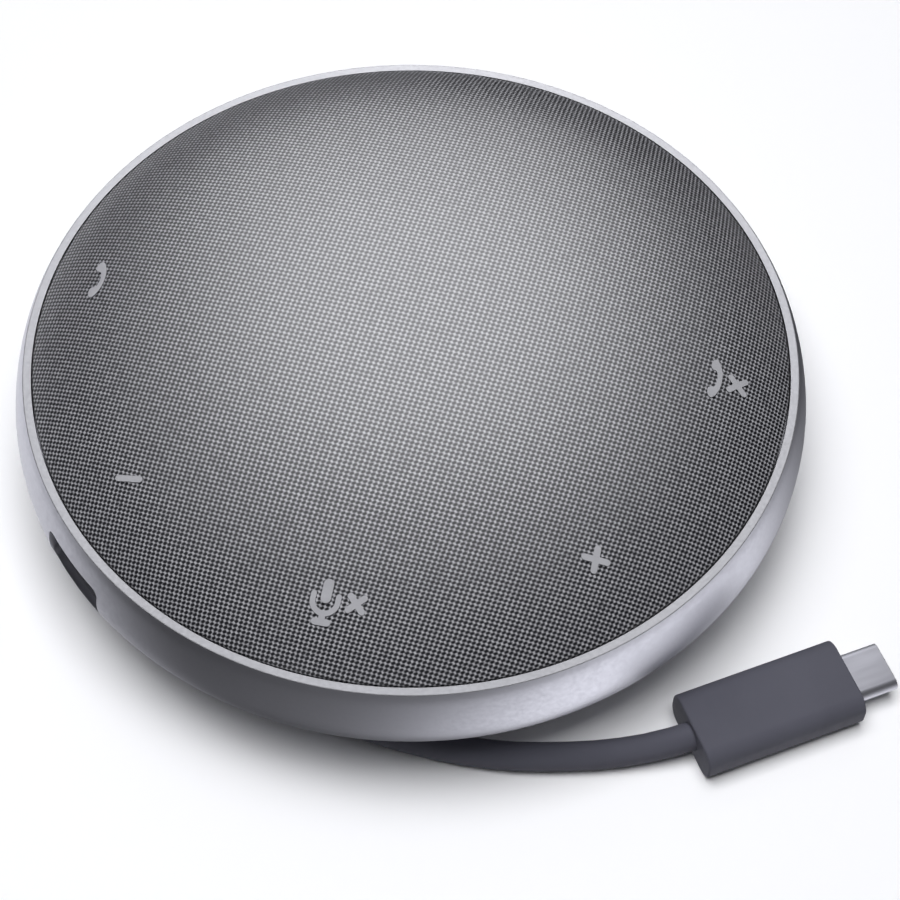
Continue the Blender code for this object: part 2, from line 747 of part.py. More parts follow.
def keys_and_switches():
    for name, bearing in KEY_BEARINGS.items():
        key(name, bearing)
        centre = polar(bearing, KEY_CIRCLE)
        bottom = KEY_BOARD_TOP + GAP
        switch_name = name.replace("key", "switch")
        switch = block(switch_name, (4.5, 4.5, 1.4), STEEL, (*centre, bottom + 0.7), bearing)
        cut(switch, [disc("well", 1.5, bottom + 0.4, bottom + 3.0, None, centre, sides=16)])
    for index, bearing in enumerate(MICROPHONE_BEARINGS, 1):
        place = (*polar(bearing, KEY_CIRCLE), KEY_BOARD_TOP + GAP + 0.55)
        block(f"microphone_{index}", (3.8, 3.0, 1.1), STEEL, place, bearing, 0.15, 1)


# ---------------------------------------------------------------- socket

def socket():
    width, depth, height = SOCKET_SIZE
    centre = polar(SOCKET_BEARING, SOCKET_MOUTH_RADIUS - depth / 2)
    shell = block("socket_shell", SOCKET_SIZE, NICKEL, (*centre, SOCKET_CENTRE_Z), SOCKET_BEARING, 0.3, 1)
    cavity = (width - 2 * SOCKET_WALL, depth, height - 2 * SOCKET_WALL)
    place = polar(SOCKET_BEARING, SOCKET_MOUTH_RADIUS - depth / 2 + 0.7)
    cut(shell, [block("cavity", cavity, None, (*place, SOCKET_CENTRE_Z), SOCKET_BEARING)])
    place = polar(SOCKET_BEARING, SOCKET_MOUTH_RADIUS - 8.1)
    block("socket_tongue", (11.1, 8.8, 1.8), WHITE, (*place, SOCKET_CENTRE_Z + 1.0), SOCKET_BEARING, 0.2, 1)


# ---------------------------------------------------------------- cord and plug

def route_points():
    points = [Vector((*polar(bearing, radius), height)) for bearing, radius, height in CORD_ROUTE]
    turn = math.radians(PLUG_HEADING)
    heading = Vector((math.cos(turn), math.sin(turn), 0.0))
    start = Vector((*PLUG_START, PLUG_AXIS_Z))
    return points + [start - heading * 0.5, start + heading * CORD_IN_PLUG]


def gland_body(name, base_radius, tip_radius, length):
    """Tapered sleeve body along the cord where it passes the wall of the well."""
    a = Vector((*polar(*GLAND_START), GLAND_LEVEL))
    b = Vector((*polar(*GLAND_END), GLAND_LEVEL))
    heading = (b - a).normalized()
    middle = (a + b) / 2
    mesh = bpy.data.meshes.new(name)
    form = bmesh.new()
    bmesh.ops.create_cone(
        form, cap_ends=True, segments=20,
        radius1=base_radius * MM, radius2=tip_radius * MM, depth=length * MM,
    )
    form.to_mesh(mesh)
    form.free()
    item = mesh_object(name, mesh, RUBBER)
    item.location = middle * MM
    item.rotation_euler = heading.to_track_quat("Z", "Y").to_euler()
    smooth(mesh)
    return item


def sleeve(points):
    """Clearance bore that follows the cord through the given points."""
    return mesh_from_curve(tube("sleeve", points, CORD_BORE, None, 3))


def cord_and_gland():
    points = smooth_route(route_points(), CORD_SPACING)
    tube("cord", points, CORD_RADIUS, SLATE)
    gland = gland_body("cord_gland", 3.6, 3.0, 8.0)
    cut(gland, [sleeve(points[:9])])
    first, second = points[:2]
    heading = math.degrees(math.atan2(second.y - first.y, second.x - first.x))
    length, width, height = CORD_ANCHOR_SIZE
    place = (*first.xy, PLATE_TOP + GAP + height / 2)
    anchor = block("cord_anchor", (length, width, height), WHITE, place, heading, 0.5, 2)
    entry = sleeve(points[:4])
    entry.location = (first - second).normalized() * GAP * MM
    cut(anchor, [entry])


def at_plug(item):
    """Put a piece made along X from x = 0 where the plug lies."""
    item.location = (PLUG_START[0] * MM, PLUG_START[1] * MM, PLUG_AXIS_Z * MM)
    item.rotation_euler.z = math.radians(PLUG_HEADING)


def shift_along(item, distance):
    item.data.transform(Matrix.Translation((distance * MM, 0.0, 0.0)))


def plug_overmould():
    item = rounded_bar("plug_overmould", PLUG_SIZE, PLUG_CORNER, SLATE, 5, 0.45)
    bore_end = CORD_IN_PLUG + 0.4
    bore = disc("bore", CORD_BORE, -1.0, bore_end, None, sides=20)
    bore.rotation_euler.y = math.pi / 2
    bore.location = ((bore_end - 1.0) / 2 * MM, 0.0, 0.0)
    pocket_size = (SHELL_SEAT + 2.0, SHELL_SIZE[0] + 2 * GAP, SHELL_SIZE[1] + 2 * GAP)
    pocket = rounded_bar("pocket", pocket_size, pocket_size[2] / 2 - 0.01, None, 5)
    pocket.location.x = (SHELL_FOOT - GAP) * MM
    cut(item, [bore, pocket])
    at_plug(item)


def plug_shell():
    size = (SHELL_SEAT + SHELL_REACH, *SHELL_SIZE)
    item = rounded_bar("plug_shell", size, SHELL_SIZE[1] / 2 - 0.01, NICKEL, 5)
    hollow_size = (size[0], SHELL_SIZE[0] - 2 * SHELL_WALL, SHELL_SIZE[1] - 2 * SHELL_WALL)
    hollow = rounded_bar("hollow", hollow_size, hollow_size[2] / 2 - 0.01, None, 5)
    hollow.location.x = SHELL_FLOOR * MM
    cut(item, [hollow])
    shift_along(item, SHELL_FOOT)
    at_plug(item)


def plug_insert():
    item = block("plug_insert", INSERT_SIZE, BLACK, (0.0, 0.0, 0.0), 0.0, 0.2, 1)
    shift_along(item, SHELL_FOOT + SHELL_FLOOR + GAP + INSERT_SIZE[0] / 2)
    at_plug(item)


# ---------------------------------------------------------------- printed symbols

def bar_outline(length, stroke, turn=0.0):
    """Bar with round ends."""
    half = length / 2 - stroke / 2
    points = arc((half, 0.0), stroke / 2, -90, 90, 4) + arc((-half, 0.0), stroke / 2, 90, 270, 4)
    return rotated(points, turn)


def rotated(points, degrees):
    turn = math.radians(degrees)
    return [
        (x * math.cos(turn) - y * math.sin(turn), x * math.sin(turn) + y * math.cos(turn)) for x, y in points
    ]


def cross_outline(length, stroke, turn=0.0):
    """Two crossing bars with round ends."""
    half = length / 2 - stroke / 2
    points = []
    for quarter in range(4):
        arm = arc((half, 0.0), stroke / 2, -90, 90, 3) + [(stroke / 2, stroke / 2)]
        points += rotated(arm, 90 * quarter)
    return rotated(points, turn)


def capsule_outline():
    return rotated(bar_outline(3.6, 1.5), 90)


def stand_outline():
    """Cradle, stem and foot of the microphone symbol, its cradle centred on the origin."""
    outer, inner, stem, base = 2.24, 1.54, 0.45, 1.4
    angle = math.degrees(math.asin(stem / outer))
    points = [(-outer, STAND_ARM)] + arc((0.0, 0.0), outer, 180, 270 - angle, 7)
    points += [(-stem, -2.65), (-base + 0.3, -2.65), (-base, -2.95), (-base, -3.25), (-base + 0.3, -3.6)]
    points += [(base - 0.3, -3.6), (base, -3.25), (base, -2.95), (base - 0.3, -2.65), (stem, -2.65)]
    points += arc((0.0, 0.0), outer, 270 + angle, 360, 7) + [(outer, STAND_ARM), (inner, STAND_ARM)]
    return points + arc((0.0, 0.0), inner, 360, 180, 10) + [(-inner, STAND_ARM)]


def handset_outline():
    """Telephone handset, its hollow side to the left."""
    upper = [(-0.9, 3.3), (-0.45, 3.55), (0.2, 3.05), (0.7, 2.1), (0.9, 1.0)]
    back = [(x, -y) for x, y in reversed(upper)]
    hollow = [(-0.95, -1.9), (-0.6, -1.45), (0.0, -1.35), (0.2, -0.6), (0.2, 0.6), (0.0, 1.35), (-0.6, 1.45)]
    return upper + back + hollow + [(-0.95, 1.9)]


def printed(name, outline, place):
    """Thin film that follows the dome just above the fabric."""
    item = flat_outline(name, outline, FILM_THICKNESS, PRINT)
    item.location = (0.0, 0.0, 0.0)
    for vertex in item.data.vertices:
        x = vertex.co.x / MM + place[0]
        y = vertex.co.y / MM + place[1]
        lift = FILM_THICKNESS if vertex.co.z > 0 else 0.0
        vertex.co = Vector((x, y, dome_height(math.hypot(x, y)) + GAP + lift)) * MM


def printed_symbols():
    printed("symbol_call_handset", handset_outline(), (-51.0, 0.5))
    printed("symbol_volume_down", bar_outline(4.25, STROKE), (-36.0, -35.1))
    printed("symbol_mute_capsule", capsule_outline(), (-2.3, -48.25))
    printed("symbol_mute_stand", stand_outline(), (-2.3, -49.7))
    printed("symbol_mute_cross", cross_outline(3.8, CROSS_STROKE, 45), (2.25, -49.4))
    printed("symbol_volume_up", cross_outline(4.35, STROKE), (35.1, -34.8))
    printed("symbol_end_handset", handset_outline(), (48.0, 1.0))
    printed("symbol_end_cross", cross_outline(4.2, CROSS_STROKE, 45), (51.4, 1.05))


# ---------------------------------------------------------------- assembly

fabric_cover()
grille_dome()
trim_ring()
outer_housing()
base_cover()
foot_pad()
base_screws()
driver()
main_board()
key_board()
keys_and_switches()
socket()
cord_and_gland()
plug_overmould()
plug_shell()
plug_insert()
printed_symbols()
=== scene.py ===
"""Looks of the conference speakerphone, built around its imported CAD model.

Lengths in this script are millimetres unless a name says otherwise, and the scene is in
metres. A bearing is the angle from the front (-Y), positive towards +X.
"""

import json
import math

import bmesh
import bpy
import numpy as np
from mathutils import Matrix, Vector


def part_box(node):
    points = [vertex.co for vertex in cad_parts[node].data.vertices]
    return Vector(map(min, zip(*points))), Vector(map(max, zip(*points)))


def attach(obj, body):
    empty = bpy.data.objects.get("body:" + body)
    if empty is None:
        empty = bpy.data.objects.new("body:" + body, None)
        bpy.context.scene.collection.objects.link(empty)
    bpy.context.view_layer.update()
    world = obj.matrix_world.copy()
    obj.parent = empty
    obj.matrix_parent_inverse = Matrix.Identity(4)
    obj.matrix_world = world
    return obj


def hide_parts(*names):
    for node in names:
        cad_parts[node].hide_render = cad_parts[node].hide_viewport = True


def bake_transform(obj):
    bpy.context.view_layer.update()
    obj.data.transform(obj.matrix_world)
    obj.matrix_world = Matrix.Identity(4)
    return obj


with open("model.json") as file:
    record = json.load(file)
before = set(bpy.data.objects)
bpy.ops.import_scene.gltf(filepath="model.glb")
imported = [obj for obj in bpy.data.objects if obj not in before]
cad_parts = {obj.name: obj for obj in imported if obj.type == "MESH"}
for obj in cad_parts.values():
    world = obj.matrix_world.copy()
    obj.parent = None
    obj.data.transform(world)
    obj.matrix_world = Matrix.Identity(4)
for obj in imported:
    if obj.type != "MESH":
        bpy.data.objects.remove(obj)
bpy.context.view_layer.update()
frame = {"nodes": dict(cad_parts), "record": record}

MM = 0.001
BODY = "puck"

RIM_RADIUS = 60.0
RIM_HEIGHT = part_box("trim_ring")[1].z / MM
DOME_SHARES = (0.0443, 0.1661, -0.2481, 0.1795)
BOWL_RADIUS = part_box("outer_housing")[1].x / MM
GROOVE_INNER = 44.8
GROOVE_OUTER = 52.4
GROOVE_ROOF = 10.6
FOOT_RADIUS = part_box("foot_pad")[1].x / MM
FOOT_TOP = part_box("foot_pad")[1].z / MM
FOOT_RINGS = (40.0, 34.0, 28.0, 22.0, 16.0, 10.0)
TAB_BEARINGS = (75, 120, 165, 210, 255)
TAB_RADIUS = 51.7
TAB_LEVEL = 5.25

WEAVE_PITCH = 0.803
WEAVE_TURN = -5.0
WEAVE_STRETCH = (0.1341, -0.0941, 0.1176, -0.0288)
WEAVE_DEPTH = 0.12
HOLE_SLANT = 0.5
CLOTH_EDGE_RADIUS = 59.75
CLOTH_TUCK = 1.2

SOCKET_BEARING = -43.1
SOCKET_CENTRE_Z = 17.2
SLOT_SIZE = (12.0, 14.1, 6.6)
SLOT_RADIUS = 62.0
SLOT_CORNER = 1.3
TONGUE_RADIUS = 54.2
SOCKET_CONTACT = (1.1, 6.8, 0.16)
SOCKET_CONTACT_PITCH = 2.4
SOCKET_CONTACT_COUNT = 4

CORD_RADIUS = 2.25
DESK_LEVEL = CORD_RADIUS + 0.03
GROOVE_LEVEL = 7.95
GROOVE_LINE = 48.6
GLAND_LEVEL = 7.4
CORD_ROUTE = (
    (-2, 35.5, GLAND_LEVEL),
    (12, 39.2, GLAND_LEVEL),
    (25, 44.3, GLAND_LEVEL),
    (38, 48.2, GLAND_LEVEL + 0.3),
    (55, GROOVE_LINE, GROOVE_LEVEL),
    (90, GROOVE_LINE, GROOVE_LEVEL),
    (125, GROOVE_LINE, GROOVE_LEVEL),
    (160, GROOVE_LINE, GROOVE_LEVEL),
    (195, GROOVE_LINE, GROOVE_LEVEL),
    (230, GROOVE_LINE, GROOVE_LEVEL),
    (265, GROOVE_LINE, GROOVE_LEVEL),
    (285, GROOVE_LINE, GROOVE_LEVEL - 0.6),
    (303, GROOVE_LINE + 0.1, 4.9),
    (317, GROOVE_LINE + 0.4, 2.9),
    (330, 49.6, DESK_LEVEL + 0.05),
    (341, 51.3, DESK_LEVEL),
    (352, 53.4, DESK_LEVEL),
    (372, 56.9, DESK_LEVEL),
    (384.4, 61.0, DESK_LEVEL),
    (395.6, 65.2, DESK_LEVEL),
    (403, 68.5, DESK_LEVEL + 0.25),
)
GLAND_ENDS = ((19, 41.8), (31, 46.4))
GLAND_HOLE = 7.9

PLUG_START = (53.5, -47.0)
PLUG_HEADING = 33.1
PLUG_SIZE = (26.6, 13.4, 6.8)
PLUG_AXIS_Z = PLUG_SIZE[2] / 2 + 0.05
PLUG_CORNER = 2.6
CORD_IN_PLUG = 5.0
CORD_BORE = 4.58
SHELL_SIZE = (8.25, 2.4)
SHELL_WALL = 0.3
SHELL_REACH = 6.9
SHELL_SEAT = 4.5
SHELL_GAP = 0.3
CORE_SIZE = (4.0, 6.4, 1.2)
PLUG_CONTACT = (3.8, 0.32, 0.1)
PLUG_CONTACT_PITCH = 0.9
PLUG_CONTACT_COUNT = 6
PLUG_CONTACT_SETBACK = 3.2
PLUG_CONTACT_HEIGHT = 0.78

CAMERA_PLACE = (45.95, -214.03, 325.38)
CAMERA_TARGET = (6.64, -0.77, 0.0)
CAMERA_LENS = 93.71
CAMERA_ROLL = 1.22

# Lights, all aimed at the origin: name, place and size in metres, watts, whether matt surfaces
# take its light and whether reflections show it
LIGHTS = (
    ("sheen", (-0.13, 0.65, 0.94), (0.58, 0.53), 5.8, False, True),
    ("back_glow", (-0.22, 0.94, 0.66), (0.64, 0.40), 2.3, False, True),
    ("front_glow", (0.10, -1.05, 0.62), (1.20, 0.50), 1.4, False, True),
    ("overhead", (-0.07, -0.05, 1.10), (0.78, 0.78), 14.2, True, False),
)
LIGHT_TINT = (0.965, 0.97, 1.0)
ROOM_TINT = (0.96, 0.965, 1.0, 1.0)

# The floor's half width and level, in metres
FLOOR_HALF = 4.0
FLOOR_LEVEL = -0.00005

# Cards of the soft room: direction, inner and outer half angle in degrees, brightness
ROOM_CARDS = (
    ((0.76, -0.26, -0.58), 8, 50, 2.1),
    ((-0.80, 0.34, -0.50), 8, 50, 1.5),
    ((0.05, -0.80, -0.60), 8, 45, 0.2),
)

STROKE = 0.95
CROSS_STROKE = 0.92
CROSS_FILLET = 0.08
FILM_LIFT = 0.16
FILM_HALF_THICKNESS = 0.06
FILM_EDGE = 0.03


# ---------------------------------------------------------------- geometry

def polar(bearing, radius):
    turn = math.radians(bearing)
    return Vector((radius * math.sin(turn), -radius * math.cos(turn)))


def dome_height(radius):
    """Height of the cloth's outer surface at a radius."""
    share = np.minimum(np.asarray(radius, float) / RIM_RADIUS, 1.0)
    rise = sum(part * (1 - share ** (2 * power)) for power, part in enumerate(DOME_SHARES, 1))
    return RIM_HEIGHT + RIM_RADIUS * rise


def arc(centre, radius, start, end, count):
    """Points along an arc, angles in degrees."""
    turns = np.radians(np.linspace(start, end, count + 1))
    return [(centre[0] + radius * math.cos(t), centre[1] + radius * math.sin(t)) for t in turns]


def round_corner(thickness):
    """Corner radius that makes a bar's sides all but fully round."""
    return thickness / 2 - 0.01


def smooth_route(points, spacing):
    """Points at an even spacing along a smooth curve through the given points."""
    samples = 24
    tolerance = 1e-6
    points = [Vector(point) for point in points]
    ends = [points[0] * 2 - points[1], *points, points[-1] * 2 - points[-2]]
    dense = []
    for index in range(1, len(ends) - 2):
        before, start, end, after = ends[index - 1:index + 3]
        for step in range(samples):
            t = step / samples
            dense.append(0.5 * (
                start * 2 + (end - before) * t
                + (before * 2 - start * 5 + end * 4 - after) * t ** 2
                + (start * 3 - before - end * 3 + after) * t ** 3
            ))
    dense.append(points[-1])
    total = sum((b - a).length for a, b in zip(dense, dense[1:]))
    stride = total / round(total / spacing)
    even = [dense[0]]
    walked = 0.0
    for a, b in zip(dense, dense[1:]):
        length = (b - a).length
        while walked + length >= stride * len(even) - tolerance:
            share = (stride * len(even) - walked) / length
            even.append(a.lerp(b, min(share, 1.0)))
        walked += length
    return even


def new_object(name, data):
    item = bpy.data.objects.new(name, data)
    bpy.context.scene.collection.objects.link(item)
    return item


def mesh_from(name, form):
    """Mesh of a bmesh form, which is then freed."""
    mesh = bpy.data.meshes.new(name)
    form.to_mesh(mesh)
    form.free()
    return mesh


def soften(mesh, degrees=35):
    mesh.shade_smooth()
    mesh.set_sharp_from_angle(angle=math.radians(degrees))


def revolved(name, profile, steps=160, closed=True):
    """Solid of revolution about Z from (radius, height) points."""
    form = bmesh.new()
    rings = []
    for radius, height in profile:
        if radius == 0.0:
            rings.append([form.verts.new((0.0, 0.0, height * MM))] * steps)
            continue
        ring = []
        for index in range(steps):
            turn = 2 * math.pi * index / steps
            place = (radius * MM * math.cos(turn), radius * MM * math.sin(turn), height * MM)
            ring.append(form.verts.new(place))
        rings.append(ring)
    pairs = list(zip(rings, rings[1:]))
    if closed:
        pairs.append((rings[-1], rings[0]))
    for upper, lower in pairs:
        for index in range(steps):
            after = (index + 1) % steps
            corners = list(dict.fromkeys([upper[index], lower[index], lower[after], upper[after]]))
            if len(corners) > 2:
                form.faces.new(corners)
    bmesh.ops.recalc_face_normals(form, faces=form.faces)
    mesh = mesh_from(name, form)
    soften(mesh)
    return new_object(name, mesh)


def rounded_bar(name, size, corner, segments=8, end_bevel=0.0, end_segments=3):
    """Bar along X with rounded long edges, from x = 0 to its length."""
    form = bmesh.new()
    bmesh.ops.create_cube(form, size=1.0)
    bmesh.ops.scale(form, vec=Vector(size) * MM, verts=form.verts)
    bmesh.ops.translate(form, vec=Vector((size[0] / 2 * MM, 0.0, 0.0)), verts=form.verts)
    long_edges = [e for e in form.edges if abs(e.verts[0].co.x - e.verts[1].co.x) > size[0] * MM / 2]
    if corner:
        bmesh.ops.bevel(
            form, geom=long_edges, offset=corner * MM, segments=segments, profile=0.5, affect="EDGES",
        )
    if end_bevel:
        ends = [e for e in form.edges if abs(e.verts[0].co.x - e.verts[1].co.x) < MM / 1000]
        bmesh.ops.bevel(
            form, geom=ends, offset=end_bevel * MM, segments=end_segments, profile=0.6, affect="EDGES",
        )
    mesh = mesh_from(name, form)
    soften(mesh)
    return new_object(name, mesh)


def contact_row(name, count, step, size, place):
    """Flat contacts in a row, a step apart, centred on a place."""
    form = bmesh.new()
    plate = Matrix.Diagonal((*(Vector(size) * MM), 1.0))
    for index in range(count):
        shift = Matrix.Translation(Vector(step) * (index - (count - 1) / 2) * MM)
        bmesh.ops.create_cube(form, size=1.0, matrix=place @ shift @ plate)
    return new_object(name, mesh_from(name, form))


def boolean(item, tools, operation="DIFFERENCE"):
    """Cut tools out of an object, or add them, and keep only the result."""
    for tool in tools:
        change = item.modifiers.new(operation.lower(), "BOOLEAN")
        change.operation = operation
        change.solver = "EXACT"
        change.object = tool
    bpy.context.view_layer.update()
    graph = bpy.context.evaluated_depsgraph_get()
    mesh = bpy.data.meshes.new_from_object(item.evaluated_get(graph))
    item.modifiers.clear()
    item.data = mesh
    for tool in tools:
        bpy.data.objects.remove(tool, do_unlink=True)
    soften(item.data)
    return item


def finished(item, look, slot, *nodes):
    """Give a piece its material and its body, and hide the CAD nodes that it stands for. Its slot is not
    used.
    """
    item.data.materials.clear()
    item.data.materials.append(look)
    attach(item, BODY)
    if nodes:
        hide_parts(*nodes)
    return item


# ---------------------------------------------------------------- material tools

class Look:
    """A node material with short calls for the nodes that this scene uses."""

    def __init__(self, name, roughness=0.5, metallic=0.0):
        self.material = bpy.data.materials.new(name)
        self.material.use_nodes = True
        self.tree = self.material.node_tree
        self.shader = self.tree.nodes["Principled BSDF"]
        self.shader.inputs["Roughness"].default_value = roughness
        self.shader.inputs["Metallic"].default_value = metallic
        self.place = self.tree.nodes.new("ShaderNodeTexCoord").outputs["Object"]

    def link(self, source, target):
        self.tree.links.new(source, target)

    def set(self, socket, value):
        self.shader.inputs[socket].default_value = value

    def drive(self, socket, source):
        self.link(source, self.shader.inputs[socket])

    def stretched(self, scale, turn=0.0):
        node = self.tree.nodes.new("ShaderNodeMapping")
        node.inputs["Scale"].default_value = scale
        node.inputs["Rotation"].default_value = (0.0, 0.0, math.radians(turn))
        self.link(self.place, node.inputs["Vector"])
        return node.outputs["Vector"]

    def noise(self, scale, detail=2.0, place=None, roughness=0.5):
        node = self.tree.nodes.new("ShaderNodeTexNoise")
        node.inputs["Scale"].default_value = scale
        node.inputs["Detail"].default_value = detail
        node.inputs["Roughness"].default_value = roughness
        self.link(place or self.place, node.inputs["Vector"])
        return node.outputs["Fac"]

    def cells(self, scale):
        node = self.tree.nodes.new("ShaderNodeTexVoronoi")
        node.inputs["Scale"].default_value = scale
        self.link(self.place, node.inputs["Vector"])
        return node.outputs["Distance"]

    def math(self, operation, a, b=None):
        node = self.tree.nodes.new("ShaderNodeMath")
        node.operation = operation
        for socket, value in zip(node.inputs, (a, b)):
            if isinstance(value, (int, float)):
                socket.default_value = value
            elif value is not None:
                self.link(value, socket)
        return node.outputs[0]

    def span(self, value, low, high, start=0.0, end=1.0):
        node = self.tree.nodes.new("ShaderNodeMapRange")
        for socket, number in zip(("From Min", "From Max", "To Min", "To Max"), (start, end, low, high)):
            node.inputs[socket].default_value = number
        self.link(value, node.inputs["Value"])
        return node.outputs["Result"]

    def ramp(self, value, stops):
        node = self.tree.nodes.new("ShaderNodeValToRGB")
        elements = node.color_ramp.elements
        while len(elements) < len(stops):
            elements.new(0.5)
        for element, (position, colour) in zip(elements, stops):
            element.position = position
            element.color = (*colour, 1.0)
        self.link(value, node.inputs["Fac"])
        return node.outputs["Color"]

    def colour(self, value, stops):
        self.drive("Base Color", self.ramp(value, stops))

    def roughness(self, value, low, high):
        self.drive("Roughness", self.span(value, low, high, 0.3, 0.7))

    def bump(self, height, distance, strength=1.0):
        node = self.tree.nodes.new("ShaderNodeBump")
        node.inputs["Distance"].default_value = distance * MM
        node.inputs["Strength"].default_value = strength
        self.link(height, node.inputs["Height"])
        self.drive("Normal", node.outputs["Normal"])


def shade(colour, factor):
    return tuple(min(part * factor, 1.0) for part in colour)


def varied(look, colour, spread, scale):
    """Slow, slight change of colour across a surface."""
    stops = [(0.3, shade(colour, 1 - spread)), (0.7, shade(colour, 1 + spread))]
    look.colour(look.noise(scale, 3.0), stops)


# ---------------------------------------------------------------- materials

def satin_silver():
    look = Look("satin_silver_blasted", metallic=1.0)
    varied(look, (0.50, 0.50, 0.545), 0.04, 45.0)
    look.roughness(look.noise(1500.0, 2.0), 0.44, 0.52)
    look.bump(look.noise(2600.0, 3.0, roughness=0.7), 0.018, 0.5)
    return look.material


def bright_trim():
    look = Look("bright_trim_metal", metallic=1.0)
    varied(look, (0.39, 0.39, 0.405), 0.03, 60.0)
    look.roughness(look.noise(1800.0, 2.0), 0.50, 0.56)
    look.bump(look.noise(3200.0, 2.0), 0.008, 0.4)
    return look.material


def woven_grey():
    """Open weave laid out by the cloth's map: grey threads, crossings painted bright as a painted highlight
    and slanted holes painted dark as painted shade.
    """
    look = Look("woven_grey_cloth")
    source = look.tree.nodes.new("ShaderNodeUVMap")
    source.uv_map = "weave"
    split = look.tree.nodes.new("ShaderNodeSeparateXYZ")
    look.link(source.outputs["UV"], split.inputs["Vector"])
    turns = 2 * math.pi * CLOTH_CELLS * 2
    across = look.math("MULTIPLY", split.outputs["X"], turns)
    along = look.math("MULTIPLY", split.outputs["Y"], turns)
    crossings = look.math("ADD", look.math("COSINE", across), look.math("COSINE", along))
    diagonal = look.math("COSINE", look.math("SUBTRACT", across, along))
    threads = look.math("ADD", crossings, look.math("MULTIPLY", diagonal, -HOLE_SLANT))
    height = look.span(threads, 0.0, 1.0, -2.0 - HOLE_SLANT, 2.0 - HOLE_SLANT)
    yarn = look.noise(5200.0, 2.0, roughness=0.6)
    knot = look.noise(1300.0, 1.0)
    uneven = look.math("MULTIPLY", height, look.span(yarn, 0.86, 1.14, 0.3, 0.7))
    uneven = look.math("MULTIPLY", uneven, look.span(knot, 0.94, 1.06, 0.3, 0.7))
    # Colour follows the weave's height, with a slight random change along the yarn: the holes are painted
    # near black as painted shade and the raised crossings painted lighter as a painted highlight.
    look.colour(uneven, [
        (0.0, (0.001, 0.001, 0.002)), (0.42, (0.001, 0.001, 0.003)), (0.54, (0.010, 0.010, 0.014)),
        (0.66, (0.052, 0.052, 0.058)), (0.80, (0.17, 0.17, 0.18)), (1.0, (0.39, 0.39, 0.405)),
    ])
    look.roughness(yarn, 0.34, 0.42)
    look.drive("Specular IOR Level", look.span(height, 0.88, 1.0, 0.30, 0.70))
    look.bump(yarn, 0.02, 0.5)
    return look.material


def slate_rubber():
    look = Look("slate_rubber_skin")
    varied(look, (0.086, 0.086, 0.106), 0.06, 90.0)
    look.roughness(look.noise(900.0, 3.0), 0.60, 0.70)
    look.set("Specular IOR Level", 0.15)
    look.bump(look.noise(2400.0, 4.0, roughness=0.65), 0.02, 0.35)
    return look.material


def nickel():
    look = Look("satin_nickel", metallic=1.0)
    varied(look, (0.50, 0.50, 0.54), 0.03, 120.0)
    lines = look.noise(900.0, 3.0, look.stretched((0.12, 1.0, 1.0), -PLUG_HEADING))
    look.roughness(lines, 0.56, 0.64)
    look.bump(lines, 0.003, 0.2)
    return look.material


def steel():
    look = Look("screw_steel", metallic=1.0)
    varied(look, (0.55, 0.55, 0.58), 0.08, 300.0)
    look.roughness(look.noise(1600.0, 2.0), 0.22, 0.38)
    look.bump(look.noise(2600.0, 3.0), 0.008, 0.4)
    return look.material


def black_plastic():
    look = Look("black_textured_plastic")
    varied(look, (0.018, 0.018, 0.020), 0.10, 70.0)
    look.roughness(look.noise(700.0, 2.0), 0.48, 0.62)
    look.bump(look.cells(3200.0), 0.025, 0.5)
    return look.material


def black_rubber():
    look = Look("black_rubber_skin")
    varied(look, (0.014, 0.014, 0.015), 0.12, 120.0)
    look.roughness(look.noise(1100.0, 3.0), 0.72, 0.90)
    look.bump(look.noise(1900.0, 4.0, roughness=0.7), 0.03, 0.5)
    return look.material


def circuit_board():
    look = Look("green_circuit_board")
    tracks = look.noise(260.0, 1.0, look.stretched((0.25, 1.0, 1.0), 45.0))
    look.colour(tracks, [
        (0.44, (0.010, 0.085, 0.035)), (0.47, (0.022, 0.17, 0.075)),
        (0.53, (0.022, 0.17, 0.075)), (0.56, (0.010, 0.085, 0.035)),
    ])
    look.roughness(look.noise(500.0, 2.0), 0.30, 0.42)
    look.bump(tracks, 0.02, 0.4)
    return look.material


def paper_cone():
    look = Look("pressed_paper_fibre")
    fibre = look.noise(1400.0, 4.0, look.stretched((1.0, 0.3, 1.0)))
    look.colour(fibre, [(0.3, (0.022, 0.022, 0.024)), (0.7, (0.055, 0.052, 0.050))])
    look.roughness(fibre, 0.70, 0.88)
    look.bump(fibre, 0.05, 0.6)
    return look.material


def copper():
    look = Look("copper_winding_wire", metallic=1.0)
    turns = look.noise(2500.0, 0.0, look.stretched((0.02, 0.02, 1.0)))
    look.colour(turns, [(0.3, (0.40, 0.15, 0.07)), (0.7, (0.78, 0.36, 0.20))])
    look.roughness(turns, 0.25, 0.40)
    look.bump(turns, 0.05, 0.6)
    return look.material


def white_plastic():
    look = Look("natural_white_plastic")
    varied(look, (0.68, 0.68, 0.64), 0.04, 160.0)
    look.roughness(look.noise(900.0, 2.0), 0.40, 0.52)
    look.bump(look.noise(2200.0, 3.0), 0.012, 0.4)
    return look.material


def gold():
    look = Look("gold_contact", metallic=1.0)
    varied(look, (0.85, 0.62, 0.28), 0.06, 700.0)
    look.roughness(look.noise(2400.0, 2.0), 0.18, 0.30)
    look.bump(look.noise(3600.0, 2.0), 0.004, 0.4)
    return look.material


def light_print():
    """Matt ink, a little uneven where it lies on the threads."""
    look = Look("light_grey_ink")
    varied(look, (0.34, 0.34, 0.355), 0.05, 350.0)
    look.roughness(look.noise(1500.0, 2.0), 0.60, 0.75)
    look.bump(look.cells(1250.0), 0.05, 0.5)
    return look.material


# ---------------------------------------------------------------- camera, lights and floor

